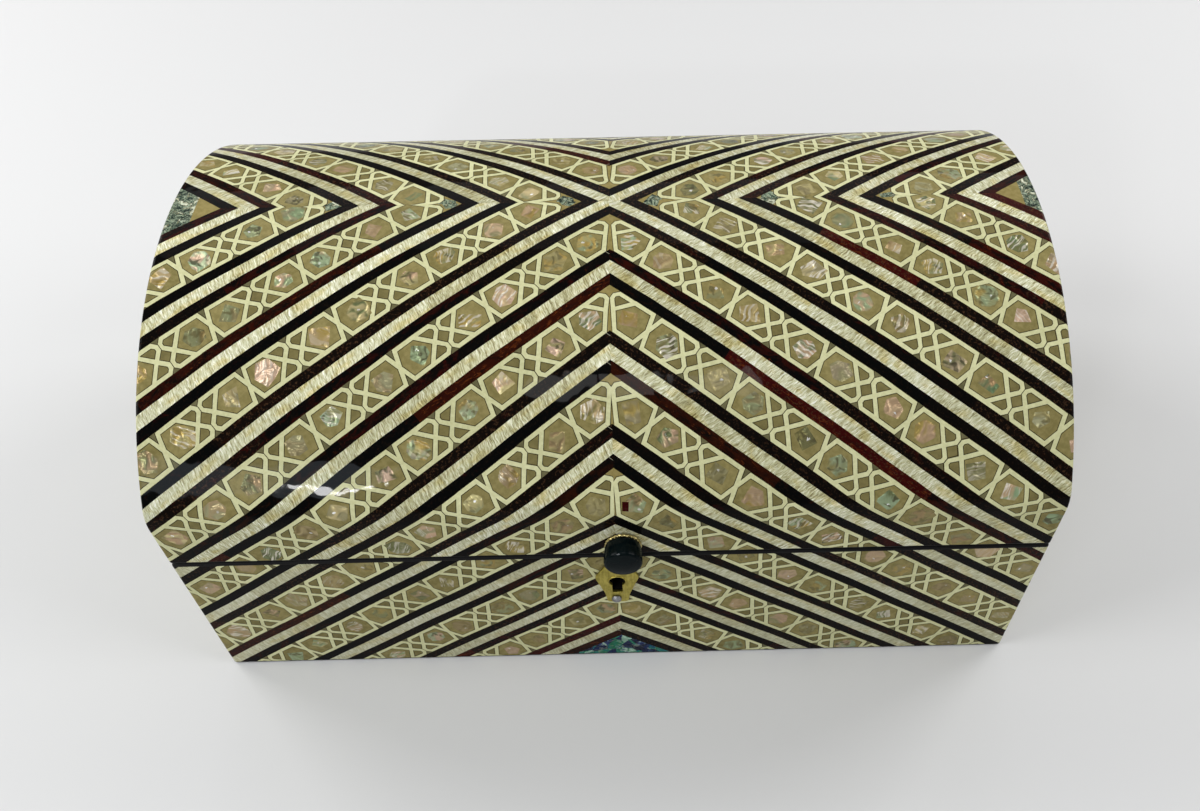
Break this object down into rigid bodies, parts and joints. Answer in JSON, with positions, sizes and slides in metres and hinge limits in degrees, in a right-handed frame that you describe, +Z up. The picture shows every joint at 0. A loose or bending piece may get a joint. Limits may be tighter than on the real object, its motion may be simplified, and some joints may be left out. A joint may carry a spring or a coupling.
{
  "type": "shell box",
  "caption": "Rectangular lidded keepsake box with a low domed lift-off lid, star and chevron shell inlay, a black pull knob and a brass keyhole plate.",
  "frame": {"origin": "middle of the base's underside, on the surface that the box stands on", "axes": "+X to the right along the box's width, -Y towards the front with the knob and the keyhole, +Z up"},
  "size_m": [0.3, 0.2071, 0.141],
  "materials": {
    "inlaid_shell": "shell and resin inlay flush in a wooden body, under thick clear gloss lacquer",
    "knob_black": "black, polished",
    "brass": "brushed, slightly tarnished",
    "pin_steel": "dull grey, worn"
  },
  "bodies": {
    "root": {"base": "inlaid_shell", "lid": "inlaid_shell", "knob": "knob_black", "knob_ring": "brass", "keyhole_plate": "brass", "plate_pin": "pin_steel"}
  },
  "joints": []
}
